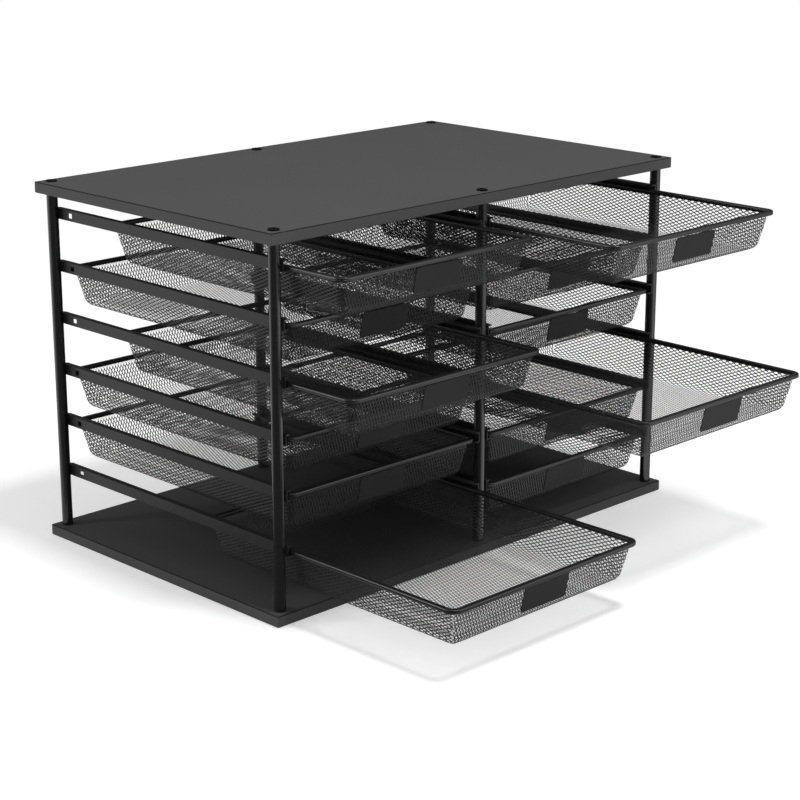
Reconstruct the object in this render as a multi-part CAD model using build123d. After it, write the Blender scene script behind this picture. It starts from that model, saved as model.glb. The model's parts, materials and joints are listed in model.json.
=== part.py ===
import os
from math import atan2, degrees, hypot, radians, sqrt, tan

from build123d import *

# Desk organizer: two boards held apart by six round posts, with steel runners welded to the
# posts and mesh drawers that slide out to the front in two columns.
# Millimetres. X to the right, Y to the rear, Z up. The origin is the middle of the underside.

# Drawer, the size that everything else follows
drawer_width = 274.0
drawer_length = 365.0
rim_width = 6.0
rim_height = 5.0
rim_corner_radius = 14.0
rim_top_round = 2.0
rim_foot_round = 0.6

# Mesh basket that hangs from the rim
basket_depth = 38.5
basket_slope = 8.0
basket_sheet = 0.8
basket_floor_corner = 14.0
basket_bend = 10.0

# Openings of the mesh, drawn few and large
net_bar = 8.0
net_floor_columns = 6
net_floor_rows = 8

# Label plate on the front wall
plate_width = 65.0
plate_height = 27.5
plate_sheet = 1.0
plate_corner = 2.5
plate_drop = 2.0

# Runner: a channel on each side of a drawer
runner_height = 11.5
runner_flange = 7.0
runner_sheet = 1.0
runner_corner = 3.0
runner_tail_chamfer = 3.0
runner_tail = 7.5
window_length = 6.5
window_height = 5.5
window_from_tail = 28.9
stop_depth = 4.0
stop_height = 6.0

# Posts between the boards
post_diameter = 12.0
post_wall = 1.0
post_side_margin = 7.7
post_end_margin = 6.1

# Boards
board_thickness = 12.0
board_arris = 0.6
top_space = 18.0
base_space = 20.3
stack_gap = 14.9

# Fasteners
screw_diameter = 6.0
screw_bite = 12.0
screw_head_diameter = 12.0
screw_head_height = 1.6
screw_head_round = 0.5
screw_socket = 4.0
screw_socket_depth = 1.0
counterbore_depth = 3.0
insert_length = 18.0
weld_start = 1.2
weld_reach = 3.2
weld_end_gap = 1.5

# Clearances
side_clearance = 1.65
running_clearance = 0.3
stop_clearance = 0.3
screw_clearance = 0.25
thread_clearance = 0.1
insert_clearance = 0.05
counterbore_clearance = 0.5

# How far each drawer is pulled out, from the top down
pulled_out = {
    "left": (80.0, 4.0, 92.0, 0.0, 0.0, 228.0),
    "right": (171.0, 0.0, 0.0, 216.0, 0.0, 0.0),
}

# Sizes that follow from the ones above
level_count = len(pulled_out["left"])
level_pitch = basket_depth + rim_height + stack_gap
post_radius = post_diameter / 2
bay_width = drawer_width + 2 * side_clearance
column_pitch = bay_width + 2 * runner_sheet + post_diameter
runner_length = drawer_length + stop_clearance + runner_sheet + runner_tail
board_width = 2 * column_pitch + post_diameter + 2 * post_side_margin
board_depth = runner_length + 2 * post_end_margin
seat_height = runner_sheet + running_clearance
lowest_runner = board_thickness + base_space + basket_depth - seat_height
top_runner = lowest_runner + (level_count - 1) * level_pitch
top_board_base = top_runner + runner_height + top_space
post_length = top_board_base - board_thickness
post_row = runner_length / 2 - post_radius
runner_front = -runner_length / 2
post_places = {
    "post_front_left": (-column_pitch, -post_row),
    "post_front_centre": (0.0, -post_row),
    "post_front_right": (column_pitch, -post_row),
    "post_rear_left": (-column_pitch, post_row),
    "post_rear_centre": (0.0, post_row),
    "post_rear_right": (column_pitch, post_row),
}
column_middle = {"left": -column_pitch / 2, "right": column_pitch / 2}
insert_radius = post_radius - post_wall - insert_clearance
screw_radius = screw_diameter / 2
counterbore_radius = screw_head_diameter / 2 + counterbore_clearance
basket_setback = rim_width - basket_sheet
wall_tilt = degrees(atan2(basket_slope, basket_depth))
floor_setback = basket_setback + basket_slope
bend_reach = basket_bend * tan(radians(90 - wall_tilt) / 2)
wall_run = hypot(basket_depth, basket_slope) - bend_reach


def runner_base(level):
    return top_runner - level * level_pitch


def board(base):
    plate = Pos(0, 0, base + board_thickness / 2) * Box(board_width, board_depth, board_thickness)
    return chamfer(plate.edges(), board_arris)


def screw_holes(base, height):
    return [
        Pos(x, y, base + height / 2) * Cylinder(screw_radius + screw_clearance, height)
        for x, y in post_places.values()
    ]


def top_board():
    return board(top_board_base) - screw_holes(top_board_base, board_thickness)


def bottom_board():
    recesses = [
        Pos(x, y, counterbore_depth / 2) * Cylinder(counterbore_radius, counterbore_depth)
        for x, y in post_places.values()
    ]
    return board(0.0) - screw_holes(0.0, board_thickness) - recesses


def post(x, y):
    tube = Cylinder(post_radius, post_length) - Cylinder(post_radius - post_wall, post_length)
    return Pos(x, y, board_thickness + post_length / 2) * tube


def insert(x, y, middle):
    bush = Cylinder(insert_radius, insert_length)
    bush -= Cylinder(screw_radius + thread_clearance, insert_length)
    return Pos(x, y, middle) * bush


def post_inserts():
    middles = (
        board_thickness + insert_length / 2,
        top_board_base - insert_length / 2,
    )
    return [insert(x, y, middle) for x, y in post_places.values() for middle in middles]


def screw(grip):
    # The head stands on the plane z = 0, the shank goes down through the board into the insert
    head = Pos(0, 0, screw_head_height / 2) * Cylinder(screw_head_diameter / 2, screw_head_height)
    head = fillet(head.edges().sort_by(Axis.Z)[-1], screw_head_round)
    socket = extrude(RegularPolygon(screw_socket / 2, 6, major_radius=False), screw_socket_depth)
    head -= Pos(0, 0, screw_head_height - screw_socket_depth) * socket
    shank_length = grip + screw_bite
    return head + Pos(0, 0, -shank_length / 2) * Cylinder(screw_radius, shank_length)


def top_screws():
    seat = top_board_base + board_thickness
    return [Pos(x, y, seat) * screw(board_thickness) for x, y in post_places.values()]


def base_screws():
    grip = board_thickness - counterbore_depth
    upside_down = Rot(180, 0, 0) * screw(grip)
    return [Pos(x, y, counterbore_depth) * upside_down for x, y in post_places.values()]


def runner():
    # Channel with its web's outer face on x = 0, opening to +X, its lower edge on z = 0
    web = Pos(runner_sheet / 2, 0, runner_height / 2) * Box(runner_sheet, runner_length, runner_height)
    flange = Pos(runner_flange / 2, 0, runner_sheet / 2) * Box(runner_flange, runner_length, runner_sheet)
    tail_corner = flange.edges().filter_by(Axis.Z).sort_by(Axis.Y)[-2:].sort_by(Axis.X)[-1]
    flange = chamfer(tail_corner, runner_tail_chamfer)
    front_corner = flange.edges().filter_by(Axis.Z).sort_by(Axis.Y)[:2].sort_by(Axis.X)[-1]
    flange = fillet(front_corner, runner_corner)
    channel = web + flange + Pos(0, 0, runner_height - runner_sheet) * flange
    tail = runner_length / 2
    window = Box(4 * runner_sheet, window_length, window_height)
    channel -= Pos(0, tail - window_from_tail, runner_height / 2) * window
    stop = Box(stop_depth, runner_sheet, stop_height)
    stop_middle = tail - runner_tail - runner_sheet / 2
    return channel + Pos(runner_sheet + stop_depth / 2, stop_middle, runner_height / 2) * stop


def runner_pair(column, level):
    middle = column_middle[column]
    reach = bay_width / 2 + runner_sheet
    base = runner_base(level)
    near = runner()
    far = mirror(near, about=Plane.YZ)
    return [Pos(middle - reach, 0, base) * near, Pos(middle + reach, 0, base) * far]


def weld_bead(x, y, facing, side, base):
    # Fills the wedge between a post and a runner's web on one side of where they touch
    web = x + facing * post_radius

    def on_post(offset):
        return x + facing * sqrt(post_radius**2 - offset**2), y + side * offset

    middle = (weld_start + weld_reach) / 2
    outline = [
        Line((web, y + side * weld_start), (web, y + side * weld_reach)),
        Line((web, y + side * weld_reach), on_post(weld_reach)),
        ThreePointArc(on_post(weld_reach), on_post(middle), on_post(weld_start)),
        Line(on_post(weld_start), (web, y + side * weld_start)),
    ]
    bead = extrude(make_face(outline), runner_height - 2 * weld_end_gap, dir=(0, 0, 1))
    return Pos(0, 0, base + weld_end_gap) * bead


def runner_welds():
    beads = []
    for x, y in post_places.values():
        facings = [facing for facing in (-1, 1) if abs(x + facing * post_radius) < column_pitch]
        for facing in facings:
            for level in range(level_count):
                for side in (-1, 1):
                    beads.append(weld_bead(x, y, facing, side, runner_base(level)))
    return beads


def rounded_outline(inset, corner, height):
    outline = RectangleRounded(drawer_width - 2 * inset, drawer_length - 2 * inset, corner)
    return Pos(0, 0, height) * outline


def rim():
    # The drawer is drawn about its own middle, with the rim's underside on z = 0
    ring = extrude(rounded_outline(0, rim_corner_radius, 0), rim_height)
    ring -= extrude(rounded_outline(rim_width, rim_corner_radius - rim_width, 0), rim_height)
    ring = fillet(ring.faces().sort_by(Axis.Z)[-1].edges(), rim_top_round)
    foot = ring.faces().sort_by(Axis.Z)[0].outer_wire()
    return fillet(foot.edges(), rim_foot_round)


def pan(setback, depth, floor_corner, bend):
    # Tapered block with a rounded foot; setback is its top edge's distance inside the rim
    top = rounded_outline(setback, rim_corner_radius - setback, 0)
    foot_setback = setback + basket_slope * depth / basket_depth
    foot = rounded_outline(foot_setback, floor_corner, -depth)
    block = loft([foot, top], ruled=True)
    return fillet(block.faces().sort_by(Axis.Z)[0].edges(), bend)


def openings(panel, length, width, columns, rows):
    # Cutters for a grid of openings, with a bar between neighbours and round the panel's edge
    long_step = (length - net_bar) / columns
    wide_step = (width - net_bar) / rows
    cutter = Box(long_step - net_bar, wide_step - net_bar, 4 * basket_sheet)
    return [
        panel.location * Pos((column + 0.5) * long_step, (row + 0.5) * wide_step, 0) * cutter
        for column in arranged(columns)
        for row in arranged(rows)
    ]


def arranged(count):
    return [place - count / 2 for place in range(count)]


def wall_panel(half_size, out):
    # Plane on the middle of a wall's flat, facing out, with its x level
    level = Vector(-out.Y, out.X, 0)
    uphill = Vector(out.X * basket_slope, out.Y * basket_slope, basket_depth).normalized()
    middle = out * (half_size - basket_setback) - uphill * (wall_run / 2)
    return Plane(origin=middle, x_dir=level, z_dir=level.cross(uphill))


def basket_openings():
    floor_edge = 2 * (floor_setback + bend_reach)
    wall_edge = 2 * (floor_setback + basket_floor_corner)
    floor_panel = Plane(origin=(0, 0, -basket_depth), z_dir=(0, 0, 1))
    cutters = openings(
        floor_panel,
        drawer_width - floor_edge,
        drawer_length - floor_edge,
        net_floor_columns,
        net_floor_rows,
    )
    for side in (-1, 1):
        side_wall = wall_panel(drawer_width / 2, Vector(side, 0, 0))
        end_wall = wall_panel(drawer_length / 2, Vector(0, side, 0))
        cutters += openings(side_wall, drawer_length - wall_edge, wall_run, net_floor_rows, 1)
        cutters += openings(end_wall, drawer_width - wall_edge, wall_run, net_floor_columns, 1)
    return cutters


def basket():
    shell = pan(basket_setback, basket_depth, basket_floor_corner, basket_bend)
    inner_corner = basket_floor_corner - basket_sheet
    inner_bend = basket_bend - basket_sheet
    shell -= pan(rim_width, basket_depth - basket_sheet, inner_corner, inner_bend)
    return shell - basket_openings()


def label_plate():
    sheet = extrude(RectangleRounded(plate_width, plate_height, plate_corner), plate_sheet)
    hung = Pos(0, -(plate_drop + plate_height / 2), 0) * sheet
    return Pos(0, basket_setback - drawer_length / 2, 0) * Rot(90 + wall_tilt, 0, 0) * hung


def drawer_place(column, level):
    front = runner_front - pulled_out[column][level]
    return Pos(column_middle[column], front + drawer_length / 2, runner_base(level) + seat_height)


def save(node, shape):
    if isinstance(shape, list):
        shape = Compound(children=shape)
    export_step(shape, f"parts/{node}.step")


os.makedirs("parts", exist_ok=True)
save("top_board", top_board())
save("bottom_board", bottom_board())
for node, (x, y) in post_places.items():
    save(node, post(x, y))
save("post_inserts", post_inserts())
save("top_screws", top_screws())
save("base_screws", base_screws())
save("runner_welds", runner_welds())
drawer_rim = rim()
drawer_basket = basket()
drawer_plate = label_plate()
for column in pulled_out:
    for level in range(level_count):
        name = f"{column}_{level + 1}"
        place = drawer_place(column, level)
        save(f"runners_{name}", runner_pair(column, level))
        save(f"drawer_rim_{name}", place * drawer_rim)
        save(f"mesh_basket_{name}", place * drawer_basket)
        save(f"label_plate_{name}", place * drawer_plate)
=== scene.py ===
import json
import math

import bpy
from mathutils import Matrix, Vector

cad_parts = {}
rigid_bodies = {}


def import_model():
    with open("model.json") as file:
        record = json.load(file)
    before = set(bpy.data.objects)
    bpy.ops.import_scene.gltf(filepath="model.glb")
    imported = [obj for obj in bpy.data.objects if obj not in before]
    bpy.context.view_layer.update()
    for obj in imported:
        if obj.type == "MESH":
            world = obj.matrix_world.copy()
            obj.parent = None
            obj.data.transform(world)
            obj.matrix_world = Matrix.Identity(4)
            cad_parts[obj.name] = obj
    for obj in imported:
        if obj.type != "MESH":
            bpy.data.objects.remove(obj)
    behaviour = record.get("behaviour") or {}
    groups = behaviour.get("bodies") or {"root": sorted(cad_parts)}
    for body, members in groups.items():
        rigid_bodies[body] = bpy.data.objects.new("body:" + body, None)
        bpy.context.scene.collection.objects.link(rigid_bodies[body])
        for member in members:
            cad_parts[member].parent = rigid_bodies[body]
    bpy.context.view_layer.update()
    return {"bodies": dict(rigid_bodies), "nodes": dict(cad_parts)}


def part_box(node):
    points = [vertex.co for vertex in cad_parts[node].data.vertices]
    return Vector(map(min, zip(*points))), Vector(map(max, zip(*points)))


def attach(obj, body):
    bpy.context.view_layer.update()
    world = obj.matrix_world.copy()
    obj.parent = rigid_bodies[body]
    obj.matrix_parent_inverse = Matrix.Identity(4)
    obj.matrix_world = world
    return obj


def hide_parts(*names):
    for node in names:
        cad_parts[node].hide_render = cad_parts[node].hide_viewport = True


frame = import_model()

mm = 0.001
drawerNames = [name for name in frame["bodies"] if name.startswith("drawer_")]


def nodeBox(node):
    return [Vector(corner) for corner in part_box(node)]


class Wire:
    # one output socket; sums on it become Math nodes

    def __init__(self, board, socket):
        self.board = board
        self.socket = socket

    def port(self, name):
        return Wire(self.board, self.socket.node.outputs[name])

    def __add__(self, other):
        return self.board.maths("ADD", self, other)

    def __sub__(self, other):
        return self.board.maths("SUBTRACT", self, other)

    def __rsub__(self, other):
        return self.board.maths("SUBTRACT", other, self)

    def __mul__(self, other):
        return self.board.maths("MULTIPLY", self, other)

    def __truediv__(self, other):
        return self.board.maths("DIVIDE", self, other)

    def __gt__(self, other):
        return self.board.maths("GREATER_THAN", self, other)


class NodeBoard:
    # adds nodes to one tree, for materials and for geometry alike

    def __init__(self, tree):
        self.tree = tree

    def add(self, kind, settings=None, sockets=None, out=0):
        node = self.tree.nodes.new(kind)
        for key, value in (settings or {}).items():
            setattr(node, key, value)
        for key, value in (sockets or {}).items():
            if isinstance(value, Wire):
                self.tree.links.new(value.socket, node.inputs[key])
            else:
                node.inputs[key].default_value = value
        return Wire(self, node.outputs[out]) if node.outputs else None

    def maths(self, operation, *values):
        return self.add("ShaderNodeMath", {"operation": operation}, dict(enumerate(values)))

    def smaller(self, one, two):
        return self.maths("MINIMUM", one, two)

    def larger(self, one, two):
        return self.maths("MAXIMUM", one, two)

    def mixColour(self, share, one, two):
        settings = {"data_type": "RGBA"}
        return self.add("ShaderNodeMix", settings, {0: share, 6: one, 7: two}, out=2)

    def choose(self, flag, one, two):
        return one * flag + two * (1 - flag)

    def join(self, parts):
        node = self.tree.nodes.new("GeometryNodeJoinGeometry")
        for part in parts:
            self.tree.links.new(part.socket, node.inputs[0])
        return Wire(self, node.outputs[0])

    def capture(self, geometry, domain, name, field):
        node = self.tree.nodes.new("GeometryNodeCaptureAttribute")
        node.domain = domain
        node.capture_items.new("FLOAT", name)
        self.tree.links.new(geometry.socket, node.inputs["Geometry"])
        self.tree.links.new(field.socket, node.inputs[name])
        return Wire(self, node.outputs["Geometry"])


def grey(level):
    return (level, level, level, 1.0)


def newMaterial(name):
    material = bpy.data.materials.new(name)
    material.use_nodes = True
    material.node_tree.nodes.clear()
    return material, NodeBoard(material.node_tree)


def finishMaterial(board, sockets):
    surface = board.add("ShaderNodeBsdfPrincipled", None, sockets)
    board.add("ShaderNodeOutputMaterial", None, {"Surface": surface})


def noise(board, coords, scale, detail=3.0, rough=0.5):
    sockets = {"Vector": coords, "Scale": scale, "Detail": detail, "Roughness": rough}
    return board.add("ShaderNodeTexNoise", None, sockets)


def roughen(board, height, strength, depth):
    return board.add("ShaderNodeBump", None, {"Strength": strength, "Distance": depth, "Height": height})


# Paint on the metal parts: a black coat with fine orange peel and faint dust in the gloss
paints = {
    "postPaint": {
        "level": 0.006, "shine": 0.95, "rough": 0.18, "spread": 0.06,
        "peel": 900.0, "bump": 0.04,
    },
    "runnerPaint": {
        "level": 0.022, "shine": 0.34, "rough": 0.36, "spread": 0.1,
        "peel": 1300.0, "bump": 0.08,
    },
    "rimPaint": {
        "level": 0.01, "shine": 0.55, "rough": 0.3, "spread": 0.1,
        "peel": 1300.0, "bump": 0.06,
    },
    "meshPaint": {
        "level": 0.025, "shine": 0.55, "rough": 0.4, "spread": 0.08,
        "peel": 1600.0, "bump": 0.05,
    },
    "platePaint": {
        "level": 0.03, "shine": 0.1, "rough": 0.5, "spread": 0.1,
        "peel": 1500.0, "bump": 0.1,
    },
    "screwPaint": {
        "level": 0.004, "shine": 0.08, "rough": 0.4, "spread": 0.1,
        "peel": 1500.0, "bump": 0.1,
    },
}

# The grain that all these paints share
paintGrain = {
    "cloud": 24.0,
    "cloudShare": 0.6,
    "dust": 420.0,
    "dustShare": 0.4,
    "dark": 0.7,
    "light": 1.4,
    "depth": 0.4 * mm,
}


def blackPaint(name):
    look = paints[name]
    material, board = newMaterial(name)
    coords = board.add("ShaderNodeTexCoord", out="Object")
    cloud = noise(board, coords, paintGrain["cloud"])
    dust = noise(board, coords, paintGrain["dust"], 2.0)
    peel = noise(board, coords, look["peel"], 1.0)
    shade = cloud * paintGrain["cloudShare"] + dust * paintGrain["dustShare"]
    dark = grey(look["level"] * paintGrain["dark"])
    light = grey(look["level"] * paintGrain["light"])
    finishMaterial(board, {
        "Base Color": board.mixColour(shade, dark, light),
        "Roughness": (cloud + dust - 1) * look["spread"] + look["rough"],
        "Normal": roughen(board, peel, look["bump"], paintGrain["depth"]),
        "Specular IOR Level": look["shine"],
    })
    return material


# Charcoal boards: fine speckled laminate, with a darker line along the edges where each board's top meets
# its sides
boardLook = {
    "level": 0.089,
    "shine": 0.03,
    "rough": 0.55,
    # width and tone of the darker line along the top edges
    "seam": 0.9 * mm,
    "seamShade": 0.25,
    "grainStretch": (260.0, 900.0, 260.0),
    "grainShare": 0.35,
    "grainHeight": 0.4,
    "speckle": 1500.0,
    "speckleShare": 0.4,
    "speckleRough": 0.1,
    "speckleHeight": 0.6,
    "cloud": 9.0,
    "cloudShare": 0.25,
    "cloudRough": 0.16,
    "dark": 0.78,
    "light": 1.22,
    "bump": 0.12,
    "depth": 0.3 * mm,
}


# mask of a thin band along the edges where each board's top meets its sides; the colour there is made
# darker
def topEdgeLine(board, coords):
    place = board.add("ShaderNodeSeparateXYZ", None, {0: coords})
    seam = None
    for node in ("top_board", "bottom_board"):
        high = nodeBox(node)[1]
        nearX = board.maths("ABSOLUTE", place.port("X")) > (high.x - boardLook["seam"])
        nearY = board.maths("ABSOLUTE", place.port("Y")) > (high.y - boardLook["seam"])
        nearTop = board.maths("COMPARE", place.port("Z"), high.z, boardLook["seam"])
        line = board.larger(nearX, nearY) * nearTop
        seam = board.larger(seam, line) if seam else line
    return seam


def boardLaminate():
    look = boardLook
    material, board = newMaterial("boardLaminate")
    coords = board.add("ShaderNodeTexCoord", out="Object")
    stretch = board.add("ShaderNodeMapping", None, {"Vector": coords, "Scale": look["grainStretch"]})
    grain = noise(board, stretch, 1.0, 4.0, 0.6)
    speckle = noise(board, coords, look["speckle"], 1.0)
    cloud = noise(board, coords, look["cloud"])
    shade = grain * look["grainShare"] + speckle * look["speckleShare"] + cloud * look["cloudShare"]
    dark = grey(look["level"] * look["dark"])
    light = grey(look["level"] * look["light"])
    plain = board.mixColour(shade, dark, light)
    # darker colour for the band along the top edges
    edgeLineColour = grey(look["level"] * look["seamShade"])
    height = speckle * look["speckleHeight"] + grain * look["grainHeight"]
    wear = (cloud - 0.5) * look["cloudRough"] + (speckle - 0.5) * look["speckleRough"]
    finishMaterial(board, {
        "Base Color": board.mixColour(topEdgeLine(board, coords), plain, edgeLineColour),
        "Roughness": wear + look["rough"],
        "Specular IOR Level": look["shine"],
        "Normal": roughen(board, height, look["bump"], look["depth"]),
    })
    return material


# Zinc on the inserts: bare metal, cloudy
zincLook = {"cloud": 300.0, "dark": 0.45, "light": 0.6, "rough": 0.25, "spread": 0.2}


def zincPlate():
    material, board = newMaterial("zincPlate")
    coords = board.add("ShaderNodeTexCoord", out="Object")
    cloud = noise(board, coords, zincLook["cloud"])
    finishMaterial(board, {
        "Base Color": board.mixColour(cloud, grey(zincLook["dark"]), grey(zincLook["light"])),
        "Metallic": 1.0,
        "Roughness": cloud * zincLook["spread"] + zincLook["rough"],
    })
    return material


materials = {name: blackPaint(name) for name in paints}
materials["boardLaminate"] = boardLaminate()
materials["zincPlate"] = zincPlate()
print("materials:", len(materials))


# CAD pieces whose shape is right keep it and take their finish
finishes = {
    "top_board": "boardLaminate",
    "bottom_board": "boardLaminate",
    "post_inserts": "zincPlate",
    "top_screws": "screwPaint",
    "base_screws": "screwPaint",
    "post_": "postPaint",
    "runner": "runnerPaint",
    "label_plate": "platePaint",
}


def finishFor(node):
    for start, finish in finishes.items():
        if node.startswith(start):
            return materials[finish]
    return None


for node, piece in frame["nodes"].items():
    finish = finishFor(node)
    if finish:
        piece.data.materials.clear()
        piece.data.materials.append(finish)
print("finishes set on the CAD pieces")


def newTree(name, sizes):
    tree = bpy.data.node_groups.new(name, "GeometryNodeTree")
    for label in sizes:
        tree.interface.new_socket(label, in_out="INPUT", socket_type="NodeSocketFloat")
    tree.interface.new_socket("Geometry", in_out="OUTPUT", socket_type="NodeSocketGeometry")
    board = NodeBoard(tree)
    start = board.add("NodeGroupInput")
    return tree, board, {label: start.port(label) for label in sizes}


def runTree(name, tree, sizes):
    holder = bpy.data.objects.new(name, bpy.data.meshes.new(name))
    bpy.context.scene.collection.objects.link(holder)
    modifier = holder.modifiers.new(name, "NODES")
    modifier.node_group = tree
    for item in tree.interface.items_tree:
        if item.in_out == "INPUT":
            modifier[item.identifier] = sizes[item.name]
    graph = bpy.context.evaluated_depsgraph_get()
    mesh = bpy.data.meshes.new_from_object(holder.evaluated_get(graph), depsgraph=graph)
    holder.modifiers.remove(modifier)
    bpy.data.objects.remove(holder)
    return mesh


def endTree(board, geometry, material):
    solid = board.add("GeometryNodeRealizeInstances", None, {"Geometry": geometry})
    painted = board.add("GeometryNodeSetMaterial", None, {"Geometry": solid, "Material": material})
    board.add("NodeGroupOutput", None, {"Geometry": painted})


# Mesh basket: one sheet of flattened expanded metal, folded up into four walls
basket = {
    "longPitch": 8.85 * mm,
    "shortPitch": 3.85 * mm,
    "strand": 1.05 * mm,
    "sheet": 0.36 * mm,
    "bend": 10.0 * mm,
    "corner": 7.5 * mm,
    "lean": 8.0 * mm,
    "tuck": 3.0 * mm,
    "leastRadius": 0.01 * mm,
    "weldWithin": 0.001 * mm,
}


def basketSizes(node):
    low, high = nodeBox(node)
    size = high - low
    lean = math.atan2(basket["lean"], size.z)
    fold = math.pi / 2 - lean
    reach = basket["bend"] * math.tan(fold / 2)
    run = math.hypot(basket["lean"], size.z) - reach
    inset = basket["lean"] + reach
    halfLong = basket["longPitch"] / 2
    halfShort = basket["shortPitch"] / 2
    spacing = 2 * halfLong * halfShort / math.hypot(halfLong, halfShort)
    return {
        "Floor X": size.x / 2 - inset,
        "Floor Y": size.y / 2 - inset,
        "Bend": basket["bend"],
        "Fold": fold,
        "Corner": basket["corner"],
        "Top": basket["bend"] * fold + run,
        "Tuck": basket["tuck"],
        "Half Long": halfLong,
        "Half Short": halfShort,
        "Hole": 1 - basket["strand"] / spacing,
        "Sheet": basket["sheet"],
    }


def basketTree(sizes, material):
    tree, board, size = newTree("expandedMesh", sizes)
    reachX = sizes["Floor X"] + sizes["Top"] + 2 * sizes["Half Short"]
    reachY = sizes["Floor Y"] + sizes["Top"] + 2 * sizes["Half Long"]
    steps = math.ceil((reachX / sizes["Half Short"] + reachY / sizes["Half Long"]) / 2)
    grid = board.add("GeometryNodeMeshGrid", None, {
        "Size X": 2.0 * steps,
        "Size Y": 2.0 * steps,
        "Vertices X": 2 * steps + 1,
        "Vertices Y": 2 * steps + 1,
    })

    # a square grid sheared into diamonds, long along Y
    count = board.add("ShaderNodeSeparateXYZ", None, {0: board.add("GeometryNodeInputPosition")})
    across = (count.port("X") - count.port("Y")) * size["Half Short"]
    along = (count.port("X") + count.port("Y")) * size["Half Long"]
    flat = board.add("ShaderNodeCombineXYZ", None, {"X": across, "Y": along})
    lattice = board.add("GeometryNodeSetPosition", None, {"Geometry": grid, "Position": flat})

    # how far a point of the flat sheet lies past the floor's edges, and which wall it goes to
    place = board.add("ShaderNodeSeparateXYZ", None, {0: board.add("GeometryNodeInputPosition")})
    awayX = board.maths("ABSOLUTE", place.port("X"))
    awayY = board.maths("ABSOLUTE", place.port("Y"))
    isEnd = (awayY - size["Floor Y"]) > (awayX - size["Floor X"])
    main = board.choose(isEnd, awayY, awayX)
    cross = board.choose(isEnd, awayX, awayY)
    mainFloor = board.choose(isEnd, size["Floor Y"], size["Floor X"])
    crossFloor = board.choose(isEnd, size["Floor X"], size["Floor Y"])

    # up the bend and the leaning wall
    past = board.larger(main - mainFloor, 0.0)
    held = board.smaller(past, size["Top"] + size["Tuck"])
    turn = board.smaller(held / size["Bend"], size["Fold"])
    wall = board.larger(held - size["Bend"] * size["Fold"], 0.0)
    out = board.maths("SINE", turn) * size["Bend"] + board.maths("COSINE", size["Fold"]) * wall
    rise = (1 - board.maths("COSINE", turn)) * size["Bend"] + board.maths("SINE", size["Fold"]) * wall

    # round the corner, as far as the seam at 45 degrees
    radius = board.smaller(out, size["Corner"])
    straight = crossFloor + out - radius
    over = board.larger(cross - straight, 0.0)
    angle = over / board.larger(radius, basket["leastRadius"])
    seam = board.smaller(angle, math.pi / 4)
    crossOut = board.smaller(cross, straight) + board.maths("SINE", seam) * radius
    mainOut = board.smaller(main, mainFloor) + out - (1 - board.maths("COSINE", seam)) * radius

    # cells past the rim or past the seam go
    spill = over - radius * (math.pi / 4)
    beyondTop = past > (size["Top"] + size["Half Short"])
    beyondSeam = spill > (size["Half Short"] * 0.5)
    unwanted = board.larger(beyondTop, beyondSeam)
    sheet = board.add("GeometryNodeDeleteGeometry", {"domain": "FACE"}, {
        "Geometry": lattice,
        "Selection": unwanted,
    })

    # each cell shrinks to its hole, and the hole is taken out
    cells = board.add("GeometryNodeExtrudeMesh", {"mode": "FACES"}, {
        "Mesh": sheet,
        "Offset Scale": 0.0,
        "Individual": True,
    })
    holes = board.add("GeometryNodeScaleElements", {"domain": "FACE"}, {
        "Geometry": cells,
        "Selection": cells.port("Top"),
        "Scale": size["Hole"],
    })
    net = board.add("GeometryNodeDeleteGeometry", {"domain": "FACE", "mode": "ONLY_FACE"}, {
        "Geometry": holes,
        "Selection": cells.port("Top"),
    })

    # fold, then raise each strand's middle line on both sides; its edges stay shut
    folded = board.add("ShaderNodeCombineXYZ", None, {
        "X": board.choose(isEnd, crossOut, mainOut) * board.maths("SIGN", place.port("X")),
        "Y": board.choose(isEnd, mainOut, crossOut) * board.maths("SIGN", place.port("Y")),
        "Z": rise,
    })
    skin = board.add("GeometryNodeSetPosition", None, {"Geometry": net, "Position": folded})
    neighbours = board.add("GeometryNodeInputMeshEdgeNeighbors")
    counted = board.capture(skin, "EDGE", "Faces", neighbours)
    middle = counted.port("Faces") > 1.99
    normal = board.add("GeometryNodeInputNormal")
    halves = []
    for side in (0.5, -0.5):
        raised = {0: normal, "Scale": size["Sheet"] * side}
        push = board.add("ShaderNodeVectorMath", {"operation": "SCALE"}, raised)
        halves.append(board.add("GeometryNodeSetPosition", None, {
            "Geometry": counted,
            "Selection": middle,
            "Offset": push,
        }))
    halves[1] = board.add("GeometryNodeFlipFaces", None, {"Mesh": halves[1]})
    closed = board.add("GeometryNodeMergeByDistance", None, {
        "Geometry": board.join(halves),
        "Distance": basket["weldWithin"],
    })
    endTree(board, closed, material)
    return tree


def nodeOf(start, body):
    return start + body.removeprefix("drawer")


def fillDrawers(pieceStart, mesh, nodeStart):
    # one copy of the mesh for each drawer, in place of its CAD node
    for body in drawerNames:
        node = nodeOf(nodeStart, body)
        low, high = nodeBox(node)
        own = mesh.copy()
        own.transform(Matrix.Translation(((low.x + high.x) / 2, (low.y + high.y) / 2, low.z)))
        piece = bpy.data.objects.new(nodeOf(pieceStart, body), own)
        bpy.context.scene.collection.objects.link(piece)
        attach(piece, body)
        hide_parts(node)


firstBasket = basketSizes(nodeOf("mesh_basket", drawerNames[0]))
netMesh = runTree("expandedMesh", basketTree(firstBasket, materials["meshPaint"]), firstBasket)
print("mesh basket:", len(netMesh.polygons), "faces")
fillDrawers("meshBasket", netMesh, "mesh_basket")
print("mesh baskets placed")


# Drawer rim: a folded steel band with a hem along the lower part of its face
rim = {
    "width": 6.0 * mm,
    "edge": 1.5 * mm,
    "corner": 12.0 * mm,
    "hemUp": 1.55 * mm,
    "hemRadius": 0.55 * mm,
    "hemProud": 0.25 * mm,
    "cornerSteps": 10,
    "edgeSteps": 4,
    "hemSides": 8,
}


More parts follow.
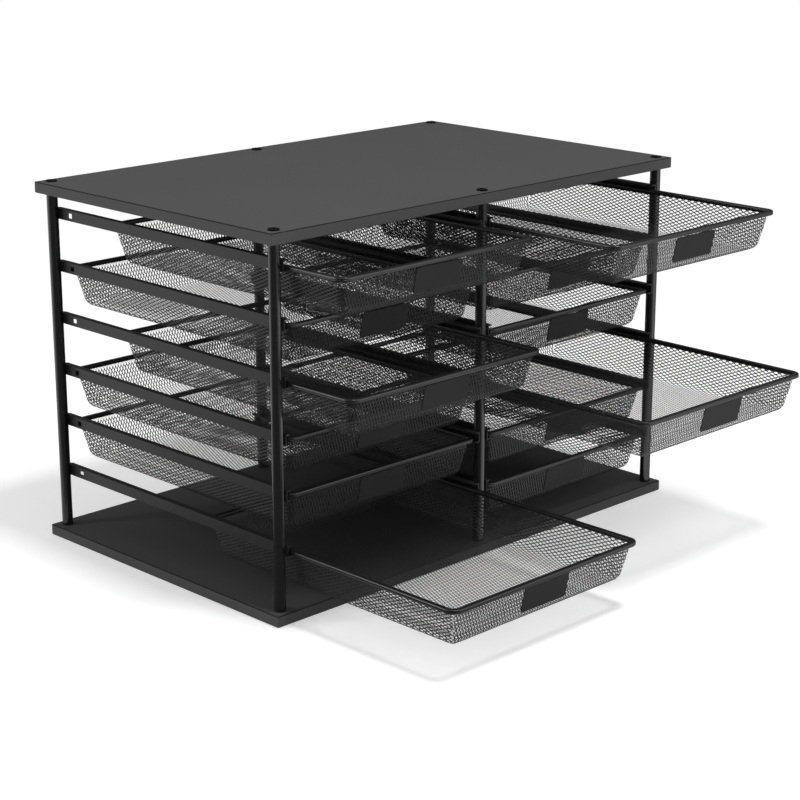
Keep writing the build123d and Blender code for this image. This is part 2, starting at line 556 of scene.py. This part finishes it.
def rimSizes(node):
    low, high = nodeBox(node)
    size = high - low
    return {
        "Length X": size.x,
        "Length Y": size.y,
        "Height": size.z,
        "Width": rim["width"],
        "Edge": rim["edge"],
        "Corner": rim["corner"],
        "Hem Up": rim["hemUp"],
        "Hem Radius": rim["hemRadius"],
        "Hem Proud": rim["hemProud"],
    }


def rimTree(sizes, material):
    tree, board, size = newTree("drawerRim", sizes)

    def path(inset, height):
        loop = board.add("GeometryNodeCurvePrimitiveQuadrilateral", {"mode": "RECTANGLE"}, {
            "Width": size["Length X"] - inset * 2,
            "Height": size["Length Y"] - inset * 2,
        })
        rounded = board.add("GeometryNodeFilletCurve", {"mode": "POLY"}, {
            "Curve": loop,
            "Count": rim["cornerSteps"],
            "Radius": size["Corner"] - inset,
        })
        upright = board.add("GeometryNodeSetCurveNormal", {"mode": "Z_UP"}, {"Curve": rounded})
        lift = board.add("ShaderNodeCombineXYZ", None, {"Z": height})
        return board.add("GeometryNodeSetPosition", None, {"Geometry": upright, "Offset": lift})

    section = board.add("GeometryNodeCurvePrimitiveQuadrilateral", {"mode": "RECTANGLE"}, {
        "Width": size["Width"],
        "Height": size["Height"],
    })
    section = board.add("GeometryNodeFilletCurve", {"mode": "POLY"}, {
        "Curve": section,
        "Count": rim["edgeSteps"],
        "Radius": size["Edge"],
    })
    band = board.add("GeometryNodeCurveToMesh", None, {
        "Curve": path(size["Width"] * 0.5, size["Height"] * 0.5),
        "Profile Curve": section,
    })
    bead = board.add("GeometryNodeCurvePrimitiveCircle", {"mode": "RADIUS"}, {
        "Resolution": rim["hemSides"],
        "Radius": size["Hem Radius"],
    })
    hem = board.add("GeometryNodeCurveToMesh", None, {
        "Curve": path(size["Hem Radius"] - size["Hem Proud"], size["Hem Up"]),
        "Profile Curve": bead,
    })
    endTree(board, board.join([band, hem]), material)
    return tree


firstRim = rimSizes(nodeOf("drawer_rim", drawerNames[0]))
rimMesh = runTree("drawerRim", rimTree(firstRim, materials["rimPaint"]), firstRim)
print("drawer rim:", len(rimMesh.polygons), "faces")
fillDrawers("drawerRim", rimMesh, "drawer_rim")
print("drawer rims placed")


# Camera at the photograph's viewpoint
shot = {
    "place": (-1.5625, -1.6385, 0.8035),
    "azimuth": -44.674,
    "elevation": 16.449,
    "lens": 92.49,
    "sensor": 36.0,
}


def addCamera():
    turn = math.radians(shot["azimuth"])
    lift = math.radians(shot["elevation"])
    back = Vector((math.sin(turn) * math.cos(lift), -math.cos(turn) * math.cos(lift), math.sin(lift)))
    lens = bpy.data.cameras.new("camera")
    lens.lens = shot["lens"]
    lens.sensor_width = shot["sensor"]
    camera = bpy.data.objects.new("camera", lens)
    camera.location = shot["place"]
    camera.rotation_mode = "QUATERNION"
    camera.rotation_quaternion = (-back).to_track_quat("-Z", "Y")
    bpy.context.scene.collection.objects.link(camera)
    bpy.context.scene.camera = camera


# A soft panel above, weaker ones in front and at the side, and a pale floor that fades to white
lamps = {
    "keyPanel": {"place": (0.0, -1.05, 3.0), "aim": (0.0, 0.0, 0.0), "size": (0.44, 0.44), "watts": 45.0},
    "frontPanel": {"place": (1.2, -2.7, 0.9), "aim": (0.0, 0.0, 0.2), "size": (1.6, 1.2), "watts": 12.0},
    "sidePanel": {"place": (-2.2, 1.2, 0.9), "aim": (0.0, 0.0, 0.2), "size": (0.5, 1.2), "watts": 16.0},
}
studio = {
    "ambient": 0.4,
    "floorSize": 24.0,
    "floorLevel": 0.9,
    "floorGlow": 0.37,
    "fadeFrom": 0.6,
    "fadeTo": 1.5,
    "cardTurn": -60.0,
    "cardLevel": 0.1,
}


def addLamp(name):
    look = lamps[name]
    panel = bpy.data.lights.new(name, "AREA")
    panel.shape = "RECTANGLE"
    panel.size, panel.size_y = look["size"]
    panel.energy = look["watts"]
    lamp = bpy.data.objects.new(name, panel)
    lamp.location = look["place"]
    lamp.rotation_mode = "QUATERNION"
    lamp.rotation_quaternion = (Vector(look["aim"]) - Vector(look["place"])).to_track_quat("-Z", "Y")
    bpy.context.scene.collection.objects.link(lamp)


def rayFlags(board):
    # rays that see the backdrop itself, and rays off a glossy surface
    rays = board.add("ShaderNodeLightPath", out="Is Camera Ray")
    return board.larger(rays, rays.port("Is Transmission Ray")), rays.port("Is Glossy Ray")


def sideways(board, direction):
    # dark cards stand at the left front and the right rear; gloss sees white to either side of them
    turn = math.radians(studio["cardTurn"])
    flat = {0: direction, 1: (1.0, 1.0, 0.0)}
    along = board.add("ShaderNodeVectorMath", {"operation": "MULTIPLY"}, flat)
    level = board.add("ShaderNodeVectorMath", {"operation": "NORMALIZE"}, {0: along})
    cards = {0: level, 1: (math.sin(turn), -math.cos(turn), 0.0)}
    facing = board.add("ShaderNodeVectorMath", {"operation": "DOT_PRODUCT"}, cards, out="Value")
    side = 1 - facing * facing
    return board.larger(side * side, studio["cardLevel"])


def addWorld():
    world = bpy.data.worlds.new("studio")
    world.use_nodes = True
    world.node_tree.nodes.clear()
    board = NodeBoard(world.node_tree)
    direct, glossy = rayFlags(board)
    direction = board.add("ShaderNodeTexCoord", out="Generated")
    unseen = 1 - board.larger(direct, glossy)
    strength = direct + glossy * sideways(board, direction) + unseen * studio["ambient"]
    sky = board.add("ShaderNodeBackground", None, {"Color": grey(1.0), "Strength": strength})
    board.add("ShaderNodeOutputWorld", None, {"Surface": sky})
    bpy.context.scene.world = world


def addFloor():
    half = studio["floorSize"] / 2
    mesh = bpy.data.meshes.new("floor")
    corners = [(-half, -half, 0), (half, -half, 0), (half, half, 0), (-half, half, 0)]
    mesh.from_pydata(corners, [], [(0, 1, 2, 3)])
    material, board = newMaterial("paleFloor")
    direct, glossy = rayFlags(board)
    coords = board.add("ShaderNodeTexCoord", out="Object")
    away = board.add("ShaderNodeVectorMath", {"operation": "LENGTH"}, {0: coords}, out="Value")
    fade = (away - studio["fadeFrom"]) * (1 / (studio["fadeTo"] - studio["fadeFrom"]))
    far = board.smaller(board.larger(fade, 0.0), 1.0)
    matt = board.add("ShaderNodeBsdfDiffuse", None, {"Color": grey(studio["floorLevel"])})
    lift = board.mixColour(direct, grey(0.0), grey(studio["floorGlow"]))
    glow = board.add("ShaderNodeEmission", None, {"Color": lift})
    near = board.add("ShaderNodeAddShader", None, {0: matt, 1: glow})
    white = board.add("ShaderNodeEmission", None, {"Color": grey(1.0)})
    seen = board.add("ShaderNodeMixShader", None, {0: far * direct, 1: near, 2: white})
    mirrored = board.mixColour(sideways(board, coords), grey(0.0), grey(1.0))
    card = board.add("ShaderNodeEmission", None, {"Color": mirrored})
    surface = board.add("ShaderNodeMixShader", None, {0: glossy, 1: seen, 2: card})
    board.add("ShaderNodeOutputMaterial", None, {"Surface": surface})
    mesh.materials.append(material)
    floor = bpy.data.objects.new("floor", mesh)
    bpy.context.scene.collection.objects.link(floor)


addCamera()
for lampName in lamps:
    addLamp(lampName)
addWorld()
addFloor()
bpy.context.scene.view_settings.view_transform = "Standard"
print("camera, lamps and floor set")
